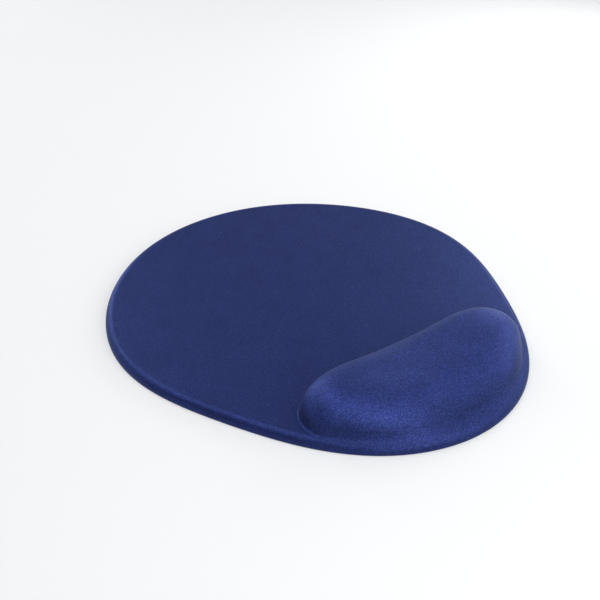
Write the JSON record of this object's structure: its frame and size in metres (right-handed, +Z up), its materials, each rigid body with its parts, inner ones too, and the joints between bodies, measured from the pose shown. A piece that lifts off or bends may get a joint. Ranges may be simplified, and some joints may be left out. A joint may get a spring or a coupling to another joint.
{
  "type": "mouse mat wrist rest",
  "caption": "Flat oval mouse mat with a raised kidney-shaped gel wrist cushion at one end, all under one stretched knit cover on a non-slip base.",
  "frame": {"origin": "on the desk under the centre of the bounding box", "axes": "+Y towards the far, mousing end of the mat and -Y to the heel under the wrist; +X to the user's right; +Z up"},
  "size_m": [0.2116, 0.2362, 0.0236],
  "materials": {
    "cover_fabric": "fine stretch jersey knit, navy to royal blue, soft sheen at grazing angles",
    "liner_film": "thin milky polyurethane film",
    "gel": "soft translucent cast gel, slightly tacky",
    "backing_film": "thin polyurethane film, satin",
    "adhesive": "hot-melt adhesive film, dull amber",
    "foam": "closed-cell foam sheet, fine cells",
    "base_rubber": "matt black non-slip rubber with a fine raised grip pattern"
  },
  "bodies": {
    "root": {"fabric_cover": "cover_fabric", "cover_liner_film": "liner_film", "gel_fill": "gel", "gel_backing_film": "backing_film", "core_adhesive_film": "adhesive", "mat_foam_core": "foam", "base_adhesive_film": "adhesive", "nonslip_base": "base_rubber"}
  },
  "joints": []
}
